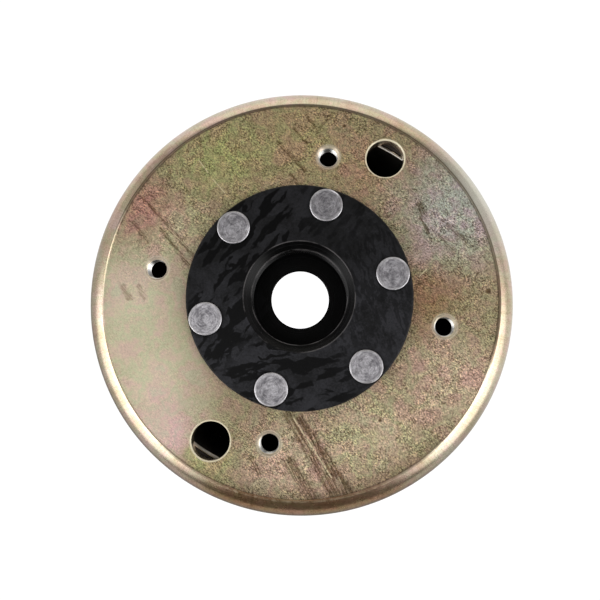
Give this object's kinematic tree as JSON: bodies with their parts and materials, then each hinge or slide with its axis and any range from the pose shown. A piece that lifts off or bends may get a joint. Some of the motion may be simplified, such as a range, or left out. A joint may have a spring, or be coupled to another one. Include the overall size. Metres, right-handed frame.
{
  "type": "magneto flywheel",
  "caption": "Outer-rotor magneto flywheel: yellow zinc steel cup with a riveted black taper-bore hub, puller thread, tapped fan holes, holder holes and arc magnets inside.",
  "frame": {"origin": "centre of the open rim's plane, on the spin axis", "axes": "+Z along the spin axis, out of the closed face towards the nut; the part stands on its open rim with the closed face up"},
  "size_m": [0.118, 0.118, 0.0411],
  "materials": {
    "yellow_zinc": "yellow chromate over zinc, satin, mottled and iridescent",
    "black_oxide": "black oxide with an oil film",
    "rivet_steel": "bare steel, dull, with forming marks",
    "ferrite": "ground grey ferrite",
    "spacer_plastic": "moulded, dark brown",
    "liner_steel": "drawn stainless sheet"
  },
  "bodies": {
    "root": {"rotor_cup": "yellow_zinc", "hub": "black_oxide", "hub_rivet_1": "rivet_steel", "hub_rivet_2": "rivet_steel", "hub_rivet_3": "rivet_steel", "hub_rivet_4": "rivet_steel", "hub_rivet_5": "rivet_steel", "hub_rivet_6": "rivet_steel", "magnet_1": "ferrite", "magnet_2": "ferrite", "magnet_3": "ferrite", "magnet_4": "ferrite", "magnet_5": "ferrite", "magnet_6": "ferrite", "magnet_spacer_1": "spacer_plastic", "magnet_spacer_2": "spacer_plastic", "magnet_spacer_3": "spacer_plastic", "magnet_spacer_4": "spacer_plastic", "magnet_spacer_5": "spacer_plastic", "magnet_spacer_6": "spacer_plastic", "magnet_liner": "liner_steel", "end_spacer": "spacer_plastic"}
  },
  "joints": []
}
